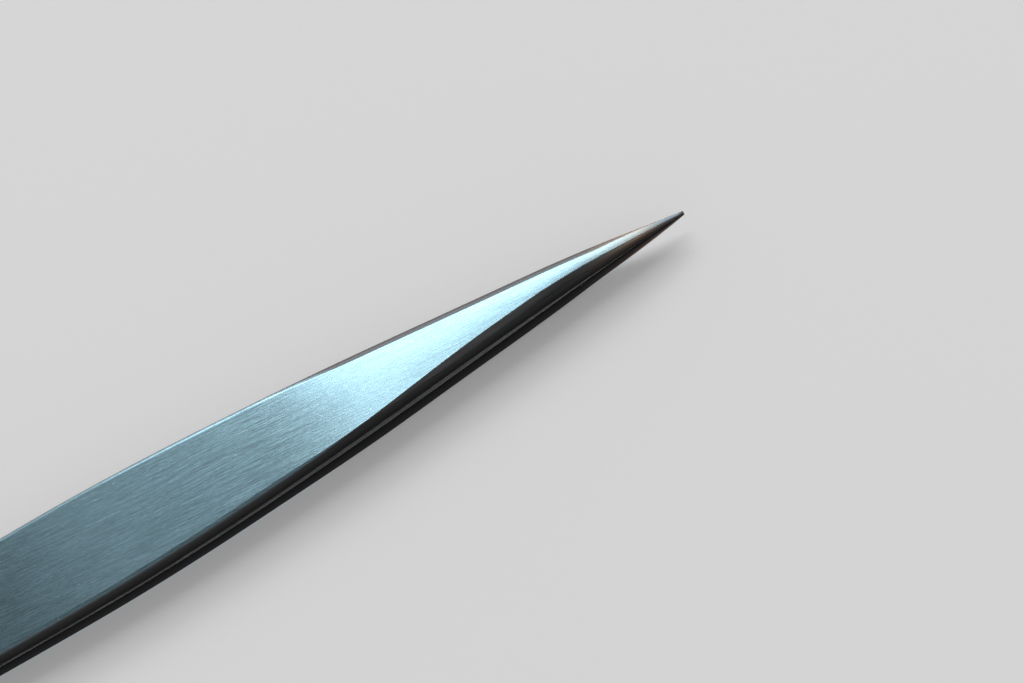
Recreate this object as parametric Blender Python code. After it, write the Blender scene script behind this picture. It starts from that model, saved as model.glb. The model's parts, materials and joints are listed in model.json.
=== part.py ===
"""Precision tweezers: two spring-steel arms, spot-welded face to face at the tail.

The tweezers lie on the outer face of the lower arm, squeezed closed. X runs along them with the points
at +X, Y runs across the arms and Z is the way they open. The origin is on the floor, below the middle.
Each arm is one strip of metal. It is stored as a heel, which the welds hold still, and a blade, which
turns about the line where the strip bends. All sizes are in metres.
"""

import math
from collections import namedtuple

import bmesh
import bpy
from mathutils import Matrix, Vector

# Outline from above. A place "behind the tip" is a distance from the points towards the tail.
LENGTH = 0.125
TIP_WIDTH = 0.0002
TIP_SPREAD = 0.16
GRIP_WIDTH = 0.0100
GRIP_BEHIND_TIP = 0.057
TAIL_WIDTH = 0.0062
TAIL_NARROWING = 0.06
TAIL_CORNER_RADIUS = 0.0022

# Strip thickness, and the gaps that are left between the arms when they are squeezed closed
GRIP_THICKNESS = 0.00140
SPRING_THICKNESS = 0.00115
TIP_THICKNESS = 0.00015
POINT_LENGTH = 0.013
GRIP_GAP = 0.00030
RELIEF_GAP = 0.00056
RELIEF_BEHIND_TIP = 0.024
TIP_GAP = 0.00005
SEAM_GAP = 0.00010

# Edges: rounded along the grip, then ground to a bevel on each side of the outer face up to the points
EDGE_RADIUS = 0.00040
INNER_EDGE_BREAK = 0.00006
BEVEL_EDGE_BREAK = 0.00004
ROUNDED_BEHIND_TIP = 0.034
ROUNDED_RUNOUT = 0.016
RIGHT_BEVEL_RUN = 0.00066
RIGHT_BEVEL_FULL_BEHIND_TIP = 0.018
RIGHT_BEVEL_RUNOUT = 0.0175
LEFT_BEVEL_RUN = 0.00062
LEFT_BEVEL_FULL_BEHIND_TIP = 0.028
LEFT_BEVEL_RUNOUT = 0.011
BEVEL_DROP = 0.00016

# Spot welds in the tail seam, and the shallow marks that the electrodes leave outside
WELD_DIAMETER = 0.0030
WELD_COVER = 0.00060
WELD_CLEARANCE = 0.00010
WELD_MARGIN = 0.0022
WELD_BRIDGE = 0.0020
MARK_DIAMETER = 0.0034
MARK_DEPTH = 0.00012

# The line where each arm bends
BEND_FROM_SEAM = 0.008
BEND_CLEARANCE = 0.00010

# Fineness of the mesh
BLADE_STATIONS = 46
BLADE_CROWDING = 1.7
HEEL_STATIONS = 14
CORNER_STATIONS = 7
EDGE_STEPS = 3
WELD_SEGMENTS = 20
WELD_RINGS = 10
SHARP_ANGLE = math.radians(14)

# The largest share of the strip that an edge or a bevel may take, which matters only near the points
BREAK_SHARE = 0.2
ROUND_SHARE = 0.35
DROP_SHARE = 0.4
RIGHT_BEVEL_SHARE = 0.25
LEFT_BEVEL_SHARE = 0.33

# Sizes that follow from the ones above
HALF_STACK = GRIP_GAP / 2 + GRIP_THICKNESS
TAIL_HALF_STACK = SEAM_GAP / 2 + SPRING_THICKNESS
SEAM_LENGTH = 2 * WELD_MARGIN + 2 * WELD_DIAMETER + WELD_BRIDGE
SEAM_BEHIND_TIP = LENGTH - SEAM_LENGTH
BEND_BEHIND_TIP = SEAM_BEHIND_TIP - BEND_FROM_SEAM
SPRING_GAP = 2 * (HALF_STACK - SPRING_THICKNESS)
REAR_WELD_BEHIND_TIP = LENGTH - WELD_MARGIN - WELD_DIAMETER / 2
FRONT_WELD_BEHIND_TIP = REAR_WELD_BEHIND_TIP - WELD_DIAMETER - WELD_BRIDGE
WELD_HEIGHT = 2 * (TAIL_HALF_STACK - WELD_COVER)

UPPER = 1
LOWER = -1

Bevel = namedtuple("Bevel", "run full runout share")
RIGHT_BEVEL = Bevel(RIGHT_BEVEL_RUN, RIGHT_BEVEL_FULL_BEHIND_TIP, RIGHT_BEVEL_RUNOUT, RIGHT_BEVEL_SHARE)
LEFT_BEVEL = Bevel(LEFT_BEVEL_RUN, LEFT_BEVEL_FULL_BEHIND_TIP, LEFT_BEVEL_RUNOUT, LEFT_BEVEL_SHARE)


def clear_scene():
    for old in list(bpy.data.objects):
        bpy.data.objects.remove(old, do_unlink=True)


def ease(share):
    """A smooth step from 0 to 1, level at both ends."""
    share = min(max(share, 0.0), 1.0)
    return share * share * (3 - 2 * share)


def mix(first, second, share):
    return first + (second - first) * share


def curve_between(share, span, start, start_slope, end, end_slope):
    """A cubic over span from start to end with the slope that each end is given."""
    rest = 1 - share
    ends = start * rest * rest * (1 + 2 * share) + end * share * share * (3 - 2 * share)
    slopes = start_slope * share * rest * rest - end_slope * share * share * rest
    return ends + span * slopes


def rounded_off(behind, radius):
    """How far an outline is drawn in near the tail end, to round its corner."""
    past = behind - (LENGTH - radius)
    if past <= 0:
        return 0.0
    return radius - math.sqrt(max(radius * radius - past * past, 0.0))


def half_width(behind):
    if behind <= GRIP_BEHIND_TIP:
        share = behind / GRIP_BEHIND_TIP
        width = curve_between(share, GRIP_BEHIND_TIP, TIP_WIDTH, TIP_SPREAD, GRIP_WIDTH, 0)
    else:
        span = LENGTH - GRIP_BEHIND_TIP
        share = (behind - GRIP_BEHIND_TIP) / span
        width = curve_between(share, span, GRIP_WIDTH, 0, TAIL_WIDTH, -TAIL_NARROWING)
    return width / 2 - rounded_off(behind, TAIL_CORNER_RADIUS)


def outer_offset(behind):
    """Height of the outer face over the middle plane: level, then a parabola to the point. Between the
    bend and the seam it comes in, because the strip keeps its thickness there while the arms close up."""
    tip = TIP_GAP / 2 + TIP_THICKNESS
    rest = max(1 - behind / POINT_LENGTH, 0.0)
    level = mix(HALF_STACK, TAIL_HALF_STACK, ease((behind - BEND_BEHIND_TIP) / BEND_FROM_SEAM))
    return mix(level, tip, rest * rest) - rounded_off(behind, EDGE_RADIUS)


def inner_offset(behind):
    """Height of the inner face over the middle plane, half of the gap between the arms."""
    stops = (0, RELIEF_BEHIND_TIP, GRIP_BEHIND_TIP, BEND_BEHIND_TIP, SEAM_BEHIND_TIP, LENGTH)
    gaps = (TIP_GAP, RELIEF_GAP, GRIP_GAP, SPRING_GAP, SEAM_GAP, SEAM_GAP)
    for stop, next_stop, gap, next_gap in zip(stops, stops[1:], gaps, gaps[1:]):
        if behind <= next_stop:
            return mix(gap, next_gap, ease((behind - stop) / (next_stop - stop))) / 2
    return SEAM_GAP / 2


def outer_edge(behind, half, thickness, bevel):
    """Points from the side up to the outer face, as (inset from the side, depth below the face)."""
    rounding = ease((behind - ROUNDED_BEHIND_TIP) / ROUNDED_RUNOUT)
    ground = ease(1 - (behind - bevel.full) / bevel.runout)
    radius = min(mix(BEVEL_EDGE_BREAK, EDGE_RADIUS, rounding), ROUND_SHARE * half)
    run = min(radius + bevel.run * ground, 2 * half * bevel.share)
    drop = min(radius + BEVEL_DROP * ground, thickness * DROP_SHARE)
    points = []
    for step in range(EDGE_STEPS + 1):
        share = step / EDGE_STEPS
        angle = share * math.pi / 2
        inset = run * mix(share, 1 - math.cos(angle), rounding)
        depth = drop * mix(1 - share, 1 - math.sin(angle), rounding)
        points.append((inset, depth))
    return points


def section(behind):
    """The strip's outline at one place, as (y, height over the middle plane), from right to left."""
    half = half_width(behind)
    inner = inner_offset(behind)
    outer = outer_offset(behind)
    thickness = outer - inner
    edge_break = min(INNER_EDGE_BREAK, BREAK_SHARE * half, BREAK_SHARE * thickness)
    right_edge = outer_edge(behind, half, thickness, RIGHT_BEVEL)
    left_edge = outer_edge(behind, half, thickness, LEFT_BEVEL)
    outline = [(edge_break - half, inner), (-half, inner + edge_break)]
    outline += [(inset - half, outer - depth) for inset, depth in right_edge]
    outline += [(half - inset, outer - depth) for inset, depth in reversed(left_edge)]
    outline += [(half, inner + edge_break), (half - edge_break, inner)]
    return outline


def place(behind, y, height, side):
    return Vector((LENGTH / 2 - behind, y, HALF_STACK + side * height))


def strip_mesh(stations, side, origin):
    """A closed strip through the sections at these stations, with its points measured from origin."""
    mesh = bmesh.new()
    loops = []
    for behind in stations:
        corners = [place(behind, y, height, side) - origin for y, height in section(behind)]
        loops.append([mesh.verts.new(corner) for corner in corners])
    for loop, next_loop in zip(loops, loops[1:]):
        for index in range(len(loop)):
            mesh.faces.new((loop[index - 1], loop[index], next_loop[index], next_loop[index - 1]))
    mesh.faces.new(loops[0])
    mesh.faces.new(loops[-1])
    bmesh.ops.recalc_face_normals(mesh, faces=mesh.faces)
    return mesh


def ellipsoid_mesh(centre, diameter, height):
    mesh = bmesh.new()
    shape = Matrix.Translation(centre) @ Matrix.Diagonal((diameter / 2, diameter / 2, height / 2, 1))
    bmesh.ops.create_uvsphere(mesh, u_segments=WELD_SEGMENTS, v_segments=WELD_RINGS, radius=1, matrix=shape)
    return mesh


def steel(name, colour, roughness):
    material = bpy.data.materials.new(name)
    material.use_nodes = True
    shader = material.node_tree.nodes["Principled BSDF"]
    shader.inputs["Base Color"].default_value = (*colour, 1)
    shader.inputs["Metallic"].default_value = 1
    shader.inputs["Roughness"].default_value = roughness
    return material


def add_object(name, mesh, material=None, origin=(0, 0, 0)):
    data = bpy.data.meshes.new(name)
    mesh.to_mesh(data)
    mesh.free()
    data.shade_smooth()
    data.set_sharp_from_angle(angle=SHARP_ANGLE)
    if material:
        data.materials.append(material)
    added = bpy.data.objects.new(name, data)
    added.location = origin
    bpy.context.scene.collection.objects.link(added)
    return added


def add_cutter(name, mesh):
    cutter = add_object(name, mesh)
    cutter.hide_render = True
    cutter.display_type = "WIRE"
    return cutter


def cut(target, cutter):
    boolean = target.modifiers.new(cutter.name, "BOOLEAN")
    boolean.operation = "DIFFERENCE"
    boolean.solver = "EXACT"
    boolean.object = cutter


def bend_axis(side):
    """The middle of the strip at its bend line, which the blade turns about."""
    height = (inner_offset(BEND_BEHIND_TIP) + outer_offset(BEND_BEHIND_TIP)) / 2
    return place(BEND_BEHIND_TIP, 0, height, side)


def add_blade(name, side, material):
    rear = BEND_BEHIND_TIP - BEND_CLEARANCE / 2
    stations = [rear * (1 - step / BLADE_STATIONS) ** BLADE_CROWDING for step in range(BLADE_STATIONS + 1)]
    origin = bend_axis(side)
    return add_object(name, strip_mesh(stations, side, origin), material, origin)


def add_heel(name, side, material):
    front = BEND_BEHIND_TIP + BEND_CLEARANCE / 2
    corner = LENGTH - TAIL_CORNER_RADIUS
    stations = [mix(front, corner, step / HEEL_STATIONS) for step in range(HEEL_STATIONS)]
    for step in range(CORNER_STATIONS + 1):
        turn = step / CORNER_STATIONS * math.pi / 2
        stations.append(corner + TAIL_CORNER_RADIUS * math.sin(turn))
    return add_object(name, strip_mesh(stations, side, Vector()), material)


def add_mark(name, behind, heel, side):
    """A shallow round dish in a heel's outer face. The cutter's middle lies outside, one mark depth away."""
    reach = 2 * MARK_DEPTH
    width_at_face = math.sqrt(1 - (MARK_DEPTH / reach) ** 2)
    centre = place(behind, 0, TAIL_HALF_STACK + MARK_DEPTH, side)
    mark = ellipsoid_mesh(centre, MARK_DIAMETER / width_at_face, 2 * reach)
    cut(heel, add_cutter(name, mark))


def add_weld(name, behind, heels, material):
    """A weld nugget, its pocket in both heels, and the mark that it leaves on the outside of each."""
    centre = place(behind, 0, 0, UPPER)
    add_object(name, ellipsoid_mesh(centre, WELD_DIAMETER, WELD_HEIGHT), material)
    spare = 2 * WELD_CLEARANCE
    pocket = ellipsoid_mesh(centre, WELD_DIAMETER + spare, WELD_HEIGHT + spare)
    pocket_cutter = add_cutter(f"{name}_pocket", pocket)
    for side, heel in heels.items():
        cut(heel, pocket_cutter)
        add_mark(f"{heel.name}_{name}_mark", behind, heel, side)


def main():
    clear_scene()
    strip_steel = steel("brushed_steel", (0.33, 0.52, 0.59), 0.28)
    weld_steel = steel("weld_steel", (0.36, 0.35, 0.34), 0.5)
    add_blade("upper_blade", UPPER, strip_steel)
    add_blade("lower_blade", LOWER, strip_steel)
    heels = {
        UPPER: add_heel("upper_heel", UPPER, strip_steel),
        LOWER: add_heel("lower_heel", LOWER, strip_steel),
    }
    add_weld("front_spot_weld", FRONT_WELD_BEHIND_TIP, heels, weld_steel)
    add_weld("rear_spot_weld", REAR_WELD_BEHIND_TIP, heels, weld_steel)


main()
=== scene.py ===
"""Looks of the precision tweezers: a detailed steel strip for each arm, in a plain pale studio.

Everything is in metres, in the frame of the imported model: X towards the points, Z up.
A place "behind" the points is a distance from them towards the tail.
"""

import json
import math
from collections import namedtuple

import bmesh
import bpy
import numpy as np
from mathutils import Matrix, Vector


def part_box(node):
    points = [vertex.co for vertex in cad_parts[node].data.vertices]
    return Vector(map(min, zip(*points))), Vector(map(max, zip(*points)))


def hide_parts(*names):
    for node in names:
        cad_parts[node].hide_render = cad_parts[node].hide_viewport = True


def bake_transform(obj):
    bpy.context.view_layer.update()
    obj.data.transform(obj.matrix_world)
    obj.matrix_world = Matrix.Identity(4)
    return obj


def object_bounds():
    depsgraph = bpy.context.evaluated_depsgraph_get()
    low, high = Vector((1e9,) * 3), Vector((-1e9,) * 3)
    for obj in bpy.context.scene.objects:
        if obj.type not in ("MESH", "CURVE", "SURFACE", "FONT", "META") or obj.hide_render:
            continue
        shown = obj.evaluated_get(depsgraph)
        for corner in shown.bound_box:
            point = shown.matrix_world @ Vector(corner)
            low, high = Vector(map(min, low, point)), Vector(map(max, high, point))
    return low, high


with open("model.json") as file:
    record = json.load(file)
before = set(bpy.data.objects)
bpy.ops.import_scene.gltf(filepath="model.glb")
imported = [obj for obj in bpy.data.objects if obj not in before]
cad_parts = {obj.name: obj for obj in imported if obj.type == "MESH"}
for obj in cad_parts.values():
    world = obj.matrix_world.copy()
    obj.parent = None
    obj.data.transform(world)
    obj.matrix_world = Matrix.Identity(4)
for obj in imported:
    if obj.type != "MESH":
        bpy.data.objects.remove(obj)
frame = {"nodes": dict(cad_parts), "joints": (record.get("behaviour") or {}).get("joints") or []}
CAD_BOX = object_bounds()

# Sizes that the frame gives
CAD_LOW, CAD_HIGH = CAD_BOX
LENGTH = CAD_HIGH.x - CAD_LOW.x
GRIP_WIDTH = CAD_HIGH.y - CAD_LOW.y
HALF_STACK = (CAD_HIGH.z - CAD_LOW.z) / 2
BEND_X = frame["joints"][0]["pos_m"][0]
BEND_BEHIND_TIP = CAD_HIGH.x - BEND_X
WELDS = ("front_spot_weld", "rear_spot_weld")
WELDS_BEHIND_TIP = [CAD_HIGH.x - (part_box(weld)[0].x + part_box(weld)[1].x) / 2 for weld in WELDS]

# Outline from above. The spread and the narrowing are slopes of the width at the two ends.
TIP_WIDTH = 0.0002
TIP_SPREAD = 0.16
GRIP_BEHIND_TIP = 0.057
TAIL_WIDTH = 0.0062
TAIL_NARROWING = 0.06
TAIL_CORNER_RADIUS = 0.0022

# Thickness of the strip, and gaps between the arms
SPRING_THICKNESS = 0.00115
TIP_THICKNESS = 0.00015
POINT_LENGTH = 0.013
GRIP_GAP = 0.00030
RELIEF_GAP = 0.00056
RELIEF_BEHIND_TIP = 0.024
TIP_GAP = 0.00005
SEAM_GAP = 0.00010
SEAM_FROM_BEND = 0.008
SPRING_GAP = 2 * (HALF_STACK - SPRING_THICKNESS)
TAIL_HALF_STACK = SEAM_GAP / 2 + SPRING_THICKNESS
SEAM_BEHIND_TIP = BEND_BEHIND_TIP + SEAM_FROM_BEND

# Edges, rounded along the grip and ground to bevels in front. A share is the most of the strip's half width,
# or of its thickness, that an edge takes.
EDGE_DROP = 0.00036
EDGE_SOFTNESS = 0.7
ROUND_SHARE = 0.35
ROUNDED_BEHIND_TIP = 0.028
ROUNDED_RUNOUT = 0.014
END_RADIUS = 0.00040
INNER_EDGE_BREAK = 0.00006
BREAK_SHARE = 0.2
BEVEL_EDGE_BREAK = 0.00004
BEVEL_DROP = 0.00016
DROP_SHARE = 0.4

# The bevel on each side of the outer face. It reaches in by edge_run where it is only rounded, and by run
# more
# where it is ground: in full from the points back to "full", then less over its runout, and never over
# its share of the width. It meets the face in a fillet and turns softer at the points by tip_softness. Along
# the grip the sides' painted shade fades into the face's finish over the grip_fade part of its reach, and
# its finish value sets how far the bevel is darkened towards the sides' painted shade.
Bevel = namedtuple("Bevel", "edge_run run full runout share fillet tip_softness grip_fade finish")
# The near, right bevel is darkened nearer the sides' painted shade than the left one, and along the grip
# that painted shade reaches further up it
RIGHT_BEVEL = Bevel(
    edge_run=0.00040, run=0.00066, full=0.018, runout=0.0175, share=0.25, fillet=0.04,
    tip_softness=1.0, grip_fade=0.75, finish=0.72)
LEFT_BEVEL = Bevel(
    edge_run=0.00060, run=0.00062, full=0.028, runout=0.011, share=0.42, fillet=0.24,
    tip_softness=0.2, grip_fade=0.65, finish=0.5)

# How the bevels soften and narrow at the points
TIP_SOFT_LENGTH = 0.018
TIP_DROP_SHARE = 0.5
NARROW_HALF_WIDTH = 0.00095

# A slight crown on the outer faces, and the most of the half width that it takes
FACE_CROWN = 0.00005
CROWN_SHARE = 0.022

# Marks of the spot welds on the outer faces
MARK_DIAMETER = 0.0034
MARK_DEPTH = 0.00016
MARK_STEEPNESS = 2.2
HEAT_DIAMETER = 0.0062

# Fineness of the meshes
BLADE_STATIONS = 230
BLADE_CROWDING = 1.5
SEAM_STATIONS = 44
CORNER_STATIONS = 12
INNER_STEPS = 8
BREAK_STEPS = 3
SIDE_STEPS = 5
EDGE_STEPS = 12
FACE_STEPS = 34

# Finishes round a strip, from its brushed outer face to the sides, which are painted dark as shade and
# darker still as painted shade at their inner edges by the gap between the arms; and the places where the
# finish of the bevels gives way to that of the grip, and where the very end of a point begins
FACE, BEVEL, SIDE, DARK = 0.0, 0.5, 1.0, 1.5
FADE_BEHIND_TIP = 0.029
FADE_RUNOUT = 0.008
TIP_END = 0.0006

# Colours in linear light
FACE_STEEL = (0.32, 0.52, 0.615, 1)
# Ground steel of the bevels, darkened partly as painted shade
SHADED_BEVEL_STEEL = (0.112, 0.112, 0.117, 1)
# Ground steel of the sides, darkened as painted shade, and darker still as painted shade at their inner
# edges by the gap
SHADED_SIDE_STEEL = (0.042, 0.043, 0.045, 1)
PAINTED_GAP_SHADE = (0.013, 0.0133, 0.014, 1)
INNER_STEEL = (0.62, 0.63, 0.63, 1)
WELD_STEEL = (0.36, 0.35, 0.34, 1)

# Painted tints: a painted warm reflection towards the points, a painted bluish shade at their very ends, and
# a heat tint round the welds
PAINTED_TINT_LENGTH = 0.013
WARM_REFLECTION_FACE = (0.265, 0.24, 0.197, 1)
WARM_REFLECTION_BEVEL = (0.54, 0.36, 0.24, 1)
WARM_REFLECTION_SIDE = (0.095, 0.063, 0.050, 1)
BLUE_SHADE_FROM = 0.77
BLUE_SHADE_FULL = 0.97
BLUE_POINT_SHADE = (0.12, 0.15, 0.175, 1)
HEAT_TINT = (0.36, 0.27, 0.18, 1)
HEAT_SHARES = (0.4, 0.9)

# Brushing of the outer faces, tilted from the length of the arm, and the other marks of making and use. The
# gloss follows the finest marks, which are tilted less. The spread of a grain is how far it lightens or
# darkens the steel.
Grain = namedtuple("Grain", "width length detail spread")
BRUSH_TILT = math.radians(5.2)
SHORT_TILT = math.radians(7)
GLOSS_TILT = math.radians(2.5)
SCRATCH_TILT = math.radians(-58)
STREAKS = Grain(width=0.000036, length=0.0036, detail=1, spread=0.34)
SHORT_STREAKS = Grain(width=0.00006, length=0.0005, detail=1, spread=0.15)
BANDS = Grain(width=0.0003, length=0.004, detail=2, spread=0.03)
CLOUDS = Grain(width=0.003, length=0.006, detail=3, spread=0.04)
GRINDING = Grain(width=0.00009, length=0.005, detail=3, spread=0.22)
SCRATCHES = Grain(width=0.00016, length=0.0030, detail=1, spread=0.3)
SPECKS = Grain(width=0.00045, length=0.00045, detail=1, spread=0.7)
MOTTLE = Grain(width=0.0005, length=0.0005, detail=4, spread=0.3)

# Noise level above which a scratch or speck shows, how far the finish and its painted shade run out in
# streaks where they change, and how deep the grain and the welds' mottling are
SPOT_LEVEL = 0.81
SPOT_SOFTNESS = 0.07
FRINGE = 0.8
GRAIN_DEPTH = 0.0000006
MOTTLE_DEPTH = 0.00002

# Lowest and highest roughness of each surface
FACE_ROUGHNESS = (0.16, 0.255)
BEVEL_ROUGHNESS = (0.28, 0.38)
INNER_ROUGHNESS = (0.6, 0.75)
WELD_ROUGHNESS = (0.42, 0.6)

# Noise behind the grains: the turn of its grid, the weight of its finer layers, and its usual range
GRID_TURN = math.radians(33)
FINER_WEIGHT = 0.6
NOISE_LOW = 0.25
NOISE_HIGH = 0.75

# The camera looks square to the length of the tweezers, from above their right side, and is rolled
TIP_PIXEL = Vector((683.5, 212.5))
IMAGE_SIZE = Vector((1024, 683))
PIXELS_PER_METRE = 12500
CAMERA_ELEVATION = math.radians(56)
CAMERA_ROLL = math.radians(30)
CAMERA_LENS = 100
CAMERA_SENSOR = 36
CAMERA_NEAREST = 0.01
CAMERA_FARTHEST = 20

# Softboxes on the far side. The key lights the front of the arms and stops short of the grip.
Softbox = namedtuple("Softbox", "elevation left width height radiance")
LAMP_DISTANCE = 3.0
KEY = Softbox(elevation=math.radians(43.5), left=-0.180, width=2.1, height=1.89, radiance=2.53)
RIM = Softbox(elevation=math.radians(29), left=-0.374, width=3.0, height=0.75, radiance=2.5)
FILL = Softbox(elevation=math.radians(50), left=-0.547, width=3.6, height=1.86, radiance=0.29)

# Brightness of the room around, and of the floor
FAR_HORIZON = 0.80
NEAR_HORIZON = 0.50
OVERHEAD = 0.145
OVERHEAD_FROM = 0.20
OVERHEAD_FULL = 0.85
FLOOR_SIZE = 2.4
FLOOR_TONE = 0.85
FLOOR_GLOW = 0.16

# Sides of the plane between the arms, and the name of the strips' map
UPPER = 1
LOWER = -1
STRIP_MAP = "strip"


def ease(share):
    """A smooth step from 0 to 1, level at both ends."""
    share = min(max(share, 0.0), 1.0)
    return share * share * (3 - 2 * share)


def mix(first, second, share):
    return first + (second - first) * share


def crowded(steps):
    """Shares from 0 to 1 that lie closer together near both ends."""
    return [(1 - math.cos(math.pi * step / steps)) / 2 for step in range(steps + 1)]


def curve_between(share, span, start, start_slope, end, end_slope):
    """A cubic over span from start to end with the slope that each end is given."""
    rest = 1 - share
    ends = start * rest * rest * (1 + 2 * share) + end * share * share * (3 - 2 * share)
    slopes = start_slope * share * rest * rest - end_slope * share * share * rest
    return ends + span * slopes


def rounded_off(behind, radius):
    """How far an outline is drawn in near the tail end, to round its corner."""
    past = min(max(behind - (LENGTH - radius), 0.0), radius)
    return radius - math.sqrt(radius * radius - past * past)


def half_width(behind):
    if behind <= GRIP_BEHIND_TIP:
        share = behind / GRIP_BEHIND_TIP
        width = curve_between(share, GRIP_BEHIND_TIP, TIP_WIDTH, TIP_SPREAD, GRIP_WIDTH, 0)
    else:
        span = LENGTH - GRIP_BEHIND_TIP
        share = (behind - GRIP_BEHIND_TIP) / span
        width = curve_between(share, span, GRIP_WIDTH, 0, TAIL_WIDTH, -TAIL_NARROWING)
    return width / 2 - rounded_off(behind, TAIL_CORNER_RADIUS)


def outer_offset(behind):
    """Height of the outer face over the plane between the arms."""
    tip = TIP_GAP / 2 + TIP_THICKNESS
    rest = max(1 - behind / POINT_LENGTH, 0.0)
    level = mix(HALF_STACK, TAIL_HALF_STACK, ease((behind - BEND_BEHIND_TIP) / SEAM_FROM_BEND))
    return mix(level, tip, rest * rest) - rounded_off(behind, END_RADIUS)


def inner_offset(behind):
    """Height of the inner face over the plane between the arms."""
    stops = (0, RELIEF_BEHIND_TIP, GRIP_BEHIND_TIP, BEND_BEHIND_TIP, SEAM_BEHIND_TIP, LENGTH)
    gaps = (TIP_GAP, RELIEF_GAP, GRIP_GAP, SPRING_GAP, SEAM_GAP, SEAM_GAP)
    for stop, next_stop, gap, next_gap in zip(stops, stops[1:], gaps, gaps[1:]):
        if behind <= next_stop:
            return mix(gap, next_gap, ease((behind - stop) / (next_stop - stop))) / 2
    return SEAM_GAP / 2


def bevel_depth(share, fillet):
    """Depth of a bevel at a share of its run, from 1 at the side to 0 at the face, where its fillet ends."""
    slope = 1 / (1 - fillet / 2)
    if share < 1 - fillet:
        return 1 - slope * share
    return slope * (1 - share) ** 2 / (2 * fillet)


def edge_reach(behind, half, thickness, bevel, rounding, tip_softness):
    """How far an outer edge reaches in from the side, and how far below the face."""
    ground = ease(1 - (behind - bevel.full) / bevel.runout)
    edge_run = min(mix(BEVEL_EDGE_BREAK, bevel.edge_run, rounding), ROUND_SHARE * half)
    edge_drop = min(mix(BEVEL_EDGE_BREAK, EDGE_DROP, rounding), ROUND_SHARE * half)
    narrowing = bevel.tip_softness * max(1 - half / NARROW_HALF_WIDTH, 0)
    run = min(edge_run + bevel.run * ground, 2 * half * bevel.share * (1 - narrowing))
    drop = min(edge_drop + BEVEL_DROP * ground, thickness * DROP_SHARE)
    return run, mix(drop, thickness * TIP_DROP_SHARE, tip_softness)


def outer_edge(behind, half, thickness, bevel):
    """Points from the side up to the face, as (inset from the side, depth below the face, finish and painted
    shade).
    """
    tip_softness = bevel.tip_softness * ease(1 - behind / TIP_SOFT_LENGTH)
    rounding = ease((behind - ROUNDED_BEHIND_TIP) / ROUNDED_RUNOUT)
    softness = max(EDGE_SOFTNESS * rounding, tip_softness)
    fading = ease((behind - FADE_BEHIND_TIP) / FADE_RUNOUT)
    run, drop = edge_reach(behind, half, thickness, bevel, rounding, tip_softness)
    points = []
    for step, straight in enumerate(crowded(EDGE_STEPS)):
        share = step / EDGE_STEPS
        angle = share * math.pi / 2
        inset = run * mix(straight, 1 - math.cos(angle), softness)
        depth = drop * mix(bevel_depth(straight, bevel.fillet), 1 - math.sin(angle), softness)
        on_face = straight > 1 - bevel.fillet / 2
        # Below the face the edge takes the sides' painted shade, which fades into the face's finish along
        # the grip
        ground_finish_and_shade = FACE if on_face else mix(SIDE, bevel.finish, ease(2 * share))
        grip_finish_and_shade = mix(SIDE, FACE, ease(share / bevel.grip_fade))
        tip_finish_and_shade = mix(SIDE, FACE, ease(share))
        finish = mix(mix(ground_finish_and_shade, grip_finish_and_shade, fading), tip_finish_and_shade, tip_softness)
        points.append((inset, depth, finish))
    return points


def mark_dish(behind, y):
    """How deep the weld marks lie below the outer face at this place."""
    depth = 0.0
    for weld in WELDS_BEHIND_TIP:
        reach = math.hypot(behind - weld, y) / (MARK_DIAMETER / 2)
        depth += MARK_DEPTH * ease(MARK_STEEPNESS * (1 - reach))
    return depth


def heat_share(behind, y):
    """How much the welding heat has coloured the outer face at this place."""
    reach = min(math.hypot(behind - weld, y) for weld in WELDS_BEHIND_TIP)
    return ease(1 - reach / (HEAT_DIAMETER / 2))


def inner_chain(half, inner, edge_break):
    """Points from the middle of the inner face to the side, as (inset from the side, height, finish and
    painted shade), all in the darkest painted shade by the gap.
    """
    points = []
    for step in range(1, INNER_STEPS + 1):
        share = math.sin(step / INNER_STEPS * math.pi / 2)
        points.append((mix(half, edge_break, share), inner, DARK))
    for step in range(1, BREAK_STEPS + 1):
        angle = step / BREAK_STEPS * math.pi / 2
        inset = edge_break * (1 - math.sin(angle))
        points.append((inset, inner + edge_break * (1 - math.cos(angle)), DARK))
    return points


def section(behind):
    """The strip's outline at one place, as (y, height, finish and painted shade), starting in the middle of
    the inner face and going round over the right side, the outer face and the left side."""
    half = half_width(behind)
    inner = inner_offset(behind)
    crown = min(FACE_CROWN, CROWN_SHARE * half)
    outer = outer_offset(behind) - crown
    thickness = outer - inner
    edge_break = min(INNER_EDGE_BREAK, BREAK_SHARE * half, BREAK_SHARE * thickness)
    halves = []
    for bevel in (RIGHT_BEVEL, LEFT_BEVEL):
        edge = outer_edge(behind, half, thickness, bevel)
        foot = inner + edge_break
        top = outer - edge[0][1]
        points = inner_chain(half, inner, edge_break)
        # The sides darken as painted shade towards the gap between the arms
        for share in crowded(SIDE_STEPS)[1:]:
            points.append((0.0, mix(foot, top, share), mix(DARK, SIDE, ease(share))))
        points += [(inset, outer - depth, finish) for inset, depth, finish in edge[1:]]
        halves.append(points)
    right = [(inset - half, height, finish) for inset, height, finish in halves[0]]
    left = [(half - inset, height, finish) for inset, height, finish in halves[1]]
    face = []
    for share in crowded(FACE_STEPS)[1:-1]:
        y = mix(right[-1][0], left[-1][0], share)
        face.append((y, outer + crown * math.sin(math.pi * share) - mark_dish(behind, y), FACE))
    return [(0.0, inner, DARK)] + right + face + left[::-1]


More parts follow.
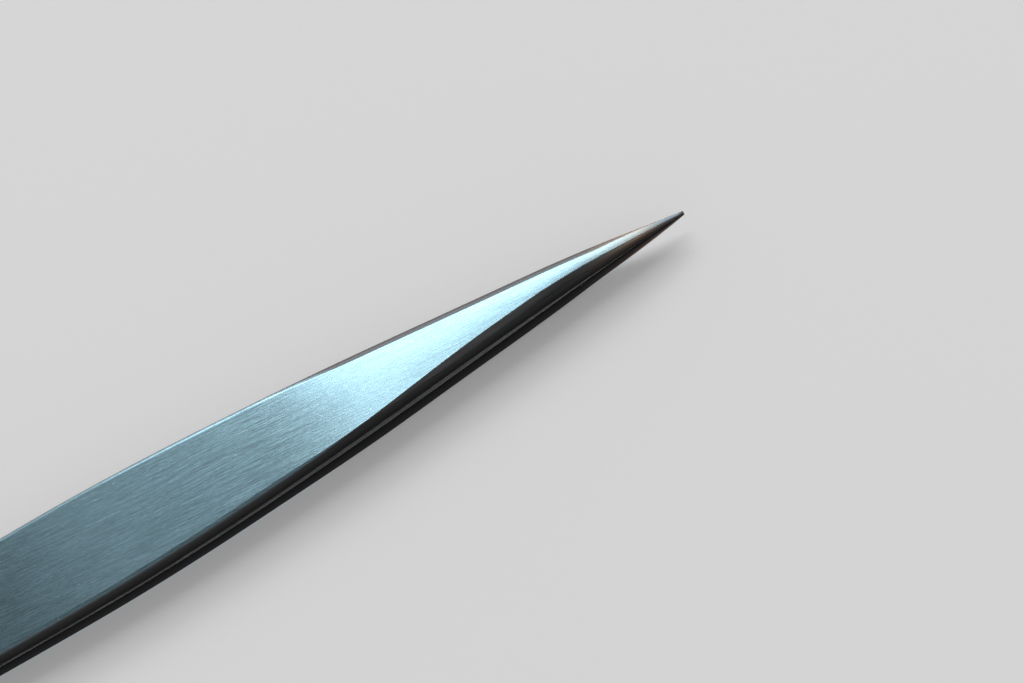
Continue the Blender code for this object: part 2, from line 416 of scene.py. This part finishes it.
def stations():
    """Places of the sections from point to tail, closer at the point and round the tail's corners."""
    corner = LENGTH - TAIL_CORNER_RADIUS
    places = []
    for step in range(BLADE_STATIONS):
        places.append(SEAM_BEHIND_TIP * (step / BLADE_STATIONS) ** BLADE_CROWDING)
    for step in range(SEAM_STATIONS):
        places.append(mix(SEAM_BEHIND_TIP, corner, step / SEAM_STATIONS))
    for step in range(CORNER_STATIONS + 1):
        places.append(corner + TAIL_CORNER_RADIUS * math.sin(step / CORNER_STATIONS * math.pi / 2))
    return places


def girths(outline):
    """Distance of each point round a closed outline, measured from half way round."""
    closed = outline + outline[:1]
    steps = [math.dist(first[:2], second[:2]) for first, second in zip(closed, closed[1:])]
    return np.concatenate([[0], np.cumsum(steps)]) - sum(steps) / 2


def add_rings(mesh, places, outlines, side):
    """The points of a strip, one ring for each section, with what its materials need to know of them."""
    finish_and_shade_layer = mesh.verts.layers.float.new("finish")
    heat_layer = mesh.verts.layers.float.new("weld_heat")
    painted_point_tint_layer = mesh.verts.layers.float.new("straw")
    rings = []
    for behind, outline in zip(places, outlines):
        # The very ends of the strip take the sides' painted shade
        strip_end = max(ease(1 - behind / TIP_END), ease(1 - (LENGTH - behind) / END_RADIUS))
        ring = []
        for y, height, finish in outline:
            vert = mesh.verts.new((CAD_HIGH.x - behind, y, HALF_STACK + side * height))
            vert[finish_and_shade_layer] = max(finish, strip_end)
            vert[heat_layer] = heat_share(behind, y)
            vert[painted_point_tint_layer] = ease(1 - behind / PAINTED_TINT_LENGTH)
            ring.append(vert)
        rings.append(ring)
    return rings


def add_strip(name, side, materials):
    """One arm as a single closed mesh. Its map runs round the section in U and along the strip in V."""
    places = stations()
    outlines = [section(behind) for behind in places]
    rounds = [girths(outline) for outline in outlines]
    count = len(outlines[0])
    shift = LENGTH if side == LOWER else 0
    mesh = bmesh.new()
    rings = add_rings(mesh, places, outlines, side)
    strip_map = mesh.loops.layers.uv.new(STRIP_MAP)
    for place in range(len(places) - 1):
        for column in range(count):
            corners = [(place, column), (place, column + 1), (place + 1, column + 1), (place + 1, column)]
            if side == LOWER:
                corners.reverse()
            face = mesh.faces.new([rings[at][turn % count] for at, turn in corners])
            face.smooth = True
            face.material_index = int(column < INNER_STEPS or column >= count - INNER_STEPS)
            for loop, (at, turn) in zip(face.loops, corners):
                loop[strip_map].uv = (rounds[at][turn], shift - places[at])
    for ring in (rings[0], rings[-1]):
        cap = mesh.faces.new(ring)
        for loop in cap.loops:
            loop.edge.smooth = False
            loop[strip_map].uv = loop.vert.co.yz
    bmesh.ops.recalc_face_normals(mesh, faces=mesh.faces)
    data = bpy.data.meshes.new(name)
    mesh.to_mesh(data)
    mesh.free()
    for material in materials:
        data.materials.append(material)
    strip = bpy.data.objects.new(name, data)
    bpy.context.scene.collection.objects.link(strip)
    return strip


class Nodes:
    """Short ways to add nodes to a tree and to link them."""

    def __init__(self, tree):
        self.tree = tree

    def feed(self, socket, value):
        if isinstance(value, bpy.types.NodeSocket):
            self.tree.links.new(value, socket)
        else:
            socket.default_value = value

    def add(self, kind, settings, inputs, output=0):
        """Adds a node, sets its settings and inputs, and returns one of its outputs."""
        node = self.tree.nodes.new(kind)
        for key, value in settings.items():
            setattr(node, key, value)
        for key, value in inputs.items():
            self.feed(node.inputs[key], value)
        return node.outputs[output]

    def calculate(self, operation, first, second):
        return self.add("ShaderNodeMath", {"operation": operation}, {0: first, 1: second})

    def remap(self, value, low, high, new_low, new_high, kind="LINEAR"):
        inputs = {"Value": value, "From Min": low, "From Max": high, "To Min": new_low, "To Max": new_high}
        return self.add("ShaderNodeMapRange", {"interpolation_type": kind}, inputs)

    def mix_values(self, share, first, second):
        return self.add("ShaderNodeMix", {"data_type": "FLOAT"}, {0: share, 2: first, 3: second})

    def mix_colours(self, share, first, second):
        return self.add("ShaderNodeMix", {"data_type": "RGBA"}, {0: share, 6: first, 7: second}, 2)


class Metal(Nodes):
    """A metal material, whose grain follows the map of the strips."""

    def __init__(self, name):
        self.material = bpy.data.materials.new(name)
        self.material.use_nodes = True
        super().__init__(self.material.node_tree)
        self.shader = self.tree.nodes["Principled BSDF"]
        self.shader.inputs["Metallic"].default_value = 1

    def set(self, **inputs):
        """Sets or links the shader's inputs, which are named in small letters joined by underscores."""
        for key, value in inputs.items():
            self.feed(self.shader.inputs[key.replace("_", " ").title()], value)

    def strip_place(self):
        return self.add("ShaderNodeUVMap", {"uv_map": STRIP_MAP}, {})

    def tangent(self):
        return self.add("ShaderNodeTangent", {"direction_type": "UV_MAP", "uv_map": STRIP_MAP}, {})

    def attribute(self, name):
        return self.add("ShaderNodeAttribute", {"attribute_name": name}, {}, "Fac")

    def turned(self, place, angle):
        settings = {"rotation_type": "Z_AXIS"}
        return self.add("ShaderNodeVectorRotate", settings, {"Vector": place, "Angle": angle})

    def noise(self, place, grain):
        """Noise whose grains have this width across the strip and this length along it. Its grid is turned
        away from the strip, so that the ends of the grains don't line up."""
        size = (1 / grain.width, 1 / grain.length, 1)
        scaled = self.add("ShaderNodeVectorMath", {"operation": "MULTIPLY"}, {0: place, 1: size})
        turned = self.turned(scaled, GRID_TURN)
        inputs = {"Vector": turned, "Scale": 1, "Detail": grain.detail, "Roughness": FINER_WEIGHT}
        return self.add("ShaderNodeTexNoise", {"noise_dimensions": "2D"}, inputs)

    def between(self, noise, low, high):
        """A value that follows the noise between two limits."""
        return self.remap(noise, NOISE_LOW, NOISE_HIGH, low, high)

    def varied(self, noise, grain):
        """A factor that goes up and down round 1 with the noise."""
        return self.between(noise, 1 - grain.spread, 1 + grain.spread)

    def spots(self, noise, grain):
        """A factor that is 1 but for a few brighter spots where the noise is highest."""
        return self.remap(noise, SPOT_LEVEL, SPOT_LEVEL + SPOT_SOFTNESS, 1, 1 + grain.spread)

    def tinted(self, colour, *factors):
        """A colour made lighter or darker by all the factors."""
        light = factors[0]
        for factor in factors[1:]:
            light = self.calculate("MULTIPLY", light, factor)
        grey = self.add("ShaderNodeCombineColor", {}, {0: light, 1: light, 2: light})
        settings = {"data_type": "RGBA", "blend_type": "MULTIPLY"}
        return self.add("ShaderNodeMix", settings, {0: 1, 6: colour, 7: grey}, 2)

    def bump(self, height, distance):
        return self.add("ShaderNodeBump", {}, {"Height": height, "Strength": 1, "Distance": distance})


def uneven_finish_and_shade(metal, straw, streaks):
    """The strip's finish and painted shade, which run out in streaks where they change, but less so towards
    the points.
    """
    finish = metal.attribute("finish")
    before_side = metal.calculate("MAXIMUM", metal.calculate("SUBTRACT", SIDE, finish), 0)
    change = metal.calculate("MULTIPLY", finish, before_side)
    change = metal.calculate("MULTIPLY", change, metal.calculate("SUBTRACT", 1, straw))
    uneven = metal.calculate("MULTIPLY", change, metal.between(streaks, -FRINGE / 2, FRINGE / 2))
    return metal.calculate("ADD", finish, uneven)


def outer_steel():
    """Oblique brushing on the faces, and lengthwise grinding on the bevels and sides, whose darker steel is
    partly painted shade.
    """
    metal = Metal("brushed_outer_steel")
    place = metal.strip_place()
    brushed = metal.turned(place, -BRUSH_TILT)
    streaks = metal.noise(brushed, STREAKS)
    short_streaks = metal.noise(metal.turned(place, -SHORT_TILT), SHORT_STREAKS)
    bands = metal.noise(brushed, BANDS)
    clouds = metal.noise(place, CLOUDS)
    grinding = metal.noise(place, GRINDING)
    ground = metal.varied(grinding, GRINDING)
    scratches = metal.noise(metal.turned(place, SCRATCH_TILT), SCRATCHES)
    specks = metal.spots(metal.noise(place, SPECKS), SPECKS)
    straw = metal.attribute("straw")
    # Painted bluish shade at the very ends of the points
    blue_shade = metal.remap(straw, BLUE_SHADE_FROM, BLUE_SHADE_FULL, 0, 1)
    finish = uneven_finish_and_shade(metal, straw, streaks)
    to_bevel = metal.remap(finish, FACE, BEVEL, 0, 1)
    to_side = metal.remap(finish, BEVEL, SIDE, 0, 1)
    to_dark = metal.remap(finish, SIDE, DARK, 0, 1)

    face = metal.tinted(
        FACE_STEEL, metal.varied(streaks, STREAKS), metal.varied(short_streaks, SHORT_STREAKS),
        metal.varied(bands, BANDS), metal.varied(clouds, CLOUDS), metal.spots(scratches, SCRATCHES), specks)
    heat = metal.calculate("MULTIPLY", metal.attribute("weld_heat"), metal.between(clouds, *HEAT_SHARES))
    face = metal.mix_colours(heat, face, HEAT_TINT)
    # A painted warm reflection towards the points, then a painted bluish shade at their very ends
    face = metal.mix_colours(straw, face, WARM_REFLECTION_FACE)
    face = metal.mix_colours(blue_shade, face, BLUE_POINT_SHADE)

    # The bevels' darkened steel, partly painted shade, with the painted warm reflection and bluish shade
    # near the points
    bevel = metal.mix_colours(metal.calculate("MULTIPLY", straw, straw), SHADED_BEVEL_STEEL, WARM_REFLECTION_BEVEL)
    bevel = metal.mix_colours(blue_shade, bevel, BLUE_POINT_SHADE)
    bevel = metal.tinted(bevel, ground, specks)

    # The sides' painted shade, darker still towards the gap, with the painted warm reflection near the
    # points
    side = metal.mix_colours(straw, SHADED_SIDE_STEEL, WARM_REFLECTION_SIDE)
    side = metal.mix_colours(to_dark, side, PAINTED_GAP_SHADE)
    side = metal.tinted(side, ground)

    face_roughness = metal.between(streaks, *FACE_ROUGHNESS)
    bevel_roughness = metal.between(grinding, *BEVEL_ROUGHNESS)
    metal.set(
        base_color=metal.mix_colours(to_side, metal.mix_colours(to_bevel, face, bevel), side),
        roughness=metal.mix_values(to_bevel, face_roughness, bevel_roughness),
        anisotropic=1,
        anisotropic_rotation=GLOSS_TILT / math.tau,
        tangent=metal.tangent(),
        normal=metal.bump(metal.mix_values(to_bevel, streaks, grinding), GRAIN_DEPTH),
    )
    return metal.material


def inner_steel():
    """Plain bright lengthwise grinding inside the arms."""
    metal = Metal("ground_inner_steel")
    grinding = metal.noise(metal.strip_place(), GRINDING)
    metal.set(
        base_color=metal.tinted(INNER_STEEL, metal.varied(grinding, GRINDING)),
        roughness=metal.between(grinding, *INNER_ROUGHNESS),
        normal=metal.bump(grinding, GRAIN_DEPTH),
    )
    return metal.material


def weld_steel():
    """Fused metal of the weld nuggets, mottled."""
    metal = Metal("fused_weld_steel")
    place = metal.add("ShaderNodeTexCoord", {}, {}, "Object")
    mottle = metal.noise(place, MOTTLE)
    metal.set(
        base_color=metal.tinted(WELD_STEEL, metal.varied(mottle, MOTTLE)),
        roughness=metal.between(mottle, *WELD_ROUGHNESS),
        normal=metal.bump(mottle, MOTTLE_DEPTH),
    )
    return metal.material


def add_arms():
    materials = [outer_steel(), inner_steel()]
    for arm, side in (("upper", UPPER), ("lower", LOWER)):
        strip = add_strip(f"{arm}_arm_strip", side, materials)
        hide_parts(f"{arm}_blade", f"{arm}_heel")
        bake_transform(strip)


def finish_welds():
    material = weld_steel()
    for weld in WELDS:
        data = frame["nodes"][weld].data
        data.materials.clear()
        data.materials.append(material)


def add_camera():
    """Stands so that the point falls on its pixel, at the photograph's scale."""
    back = Vector((0, -math.cos(CAMERA_ELEVATION), math.sin(CAMERA_ELEVATION)))
    level = Vector((1, 0, 0))
    upright = back.cross(level)
    right = level * math.cos(CAMERA_ROLL) - upright * math.sin(CAMERA_ROLL)
    up = level * math.sin(CAMERA_ROLL) + upright * math.cos(CAMERA_ROLL)
    offset = (TIP_PIXEL - IMAGE_SIZE / 2) / PIXELS_PER_METRE
    tip = Vector((CAD_HIGH.x, 0, HALF_STACK))
    centre = tip - right * offset.x + up * offset.y
    view_width = IMAGE_SIZE.x / PIXELS_PER_METRE
    distance = view_width * CAMERA_LENS / CAMERA_SENSOR
    data = bpy.data.cameras.new("camera")
    data.lens = CAMERA_LENS
    data.sensor_width = CAMERA_SENSOR
    data.clip_start = CAMERA_NEAREST
    data.clip_end = CAMERA_FARTHEST
    camera = bpy.data.objects.new("camera", data)
    turn = Matrix((right, up, back)).transposed().to_4x4()
    camera.matrix_world = Matrix.Translation(centre + back * distance) @ turn
    bpy.context.scene.collection.objects.link(camera)
    bpy.context.scene.camera = camera


def add_softbox(name, box):
    """An area lamp on the far side that faces the tweezers. Its power follows from how bright it looks."""
    data = bpy.data.lights.new(name, "AREA")
    data.shape = "RECTANGLE"
    data.size = box.width
    data.size_y = box.height
    data.energy = box.radiance * math.pi * box.width * box.height
    away = Vector((0, math.cos(box.elevation), math.sin(box.elevation)))
    level = Vector((1, 0, 0))
    down = away.cross(level)
    turn = Matrix((level, down, away)).transposed().to_4x4()
    centre = Vector((box.left + box.width / 2, 0, HALF_STACK)) + away * LAMP_DISTANCE
    lamp = bpy.data.objects.new(name, data)
    lamp.matrix_world = Matrix.Translation(centre) @ turn
    lamp.visible_camera = False
    bpy.context.scene.collection.objects.link(lamp)


def add_world():
    """A soft room: bright low down on the far side, dimmer in front, and dark overhead."""
    world = bpy.data.worlds.new("studio")
    world.use_nodes = True
    bpy.context.scene.world = world
    nodes = Nodes(world.node_tree)
    direction = nodes.add("ShaderNodeTexCoord", {}, {}, "Generated")
    along_y = nodes.add("ShaderNodeSeparateXYZ", {}, {0: direction}, "Y")
    along_z = nodes.add("ShaderNodeSeparateXYZ", {}, {0: direction}, "Z")
    horizon = nodes.remap(along_y, -1, 1, NEAR_HORIZON, FAR_HORIZON)
    overhead = nodes.remap(along_z, OVERHEAD_FROM, OVERHEAD_FULL, 0, 1, "SMOOTHSTEP")
    background = world.node_tree.nodes["Background"]
    background.inputs["Color"].default_value = (1, 1, 1, 1)
    nodes.feed(background.inputs["Strength"], nodes.mix_values(overhead, horizon, OVERHEAD))


def floor_paper():
    """Pale paper. A little of its tone shows to the camera and in reflections without any light."""
    material = bpy.data.materials.new("pale_floor")
    material.use_nodes = True
    nodes = Nodes(material.node_tree)
    nodes.tree.nodes.clear()
    seen = 0.0
    for ray in ("Is Camera Ray", "Is Glossy Ray", "Is Transmission Ray"):
        seen = nodes.calculate("MAXIMUM", seen, nodes.add("ShaderNodeLightPath", {}, {}, ray))
    tone = (FLOOR_GLOW, FLOOR_GLOW, FLOOR_GLOW, 1)
    glow = nodes.add("ShaderNodeEmission", {}, {"Color": tone, "Strength": seen})
    paper = nodes.add("ShaderNodeBsdfDiffuse", {}, {"Color": (FLOOR_TONE, FLOOR_TONE, FLOOR_TONE, 1)})
    both = nodes.add("ShaderNodeAddShader", {}, {0: glow, 1: paper})
    output = nodes.tree.nodes.new("ShaderNodeOutputMaterial")
    nodes.feed(output.inputs["Surface"], both)
    return material


def add_floor():
    mesh = bmesh.new()
    bmesh.ops.create_grid(mesh, x_segments=1, y_segments=1, size=FLOOR_SIZE / 2)
    data = bpy.data.meshes.new("floor")
    mesh.to_mesh(data)
    mesh.free()
    data.materials.append(floor_paper())
    floor = bpy.data.objects.new("floor", data)
    bpy.context.scene.collection.objects.link(floor)


add_arms()
finish_welds()
add_camera()
add_world()
add_softbox("key_softbox", KEY)
add_softbox("rim_softbox", RIM)
add_softbox("fill_softbox", FILL)
add_floor()
bpy.context.scene.view_settings.view_transform = "Standard"
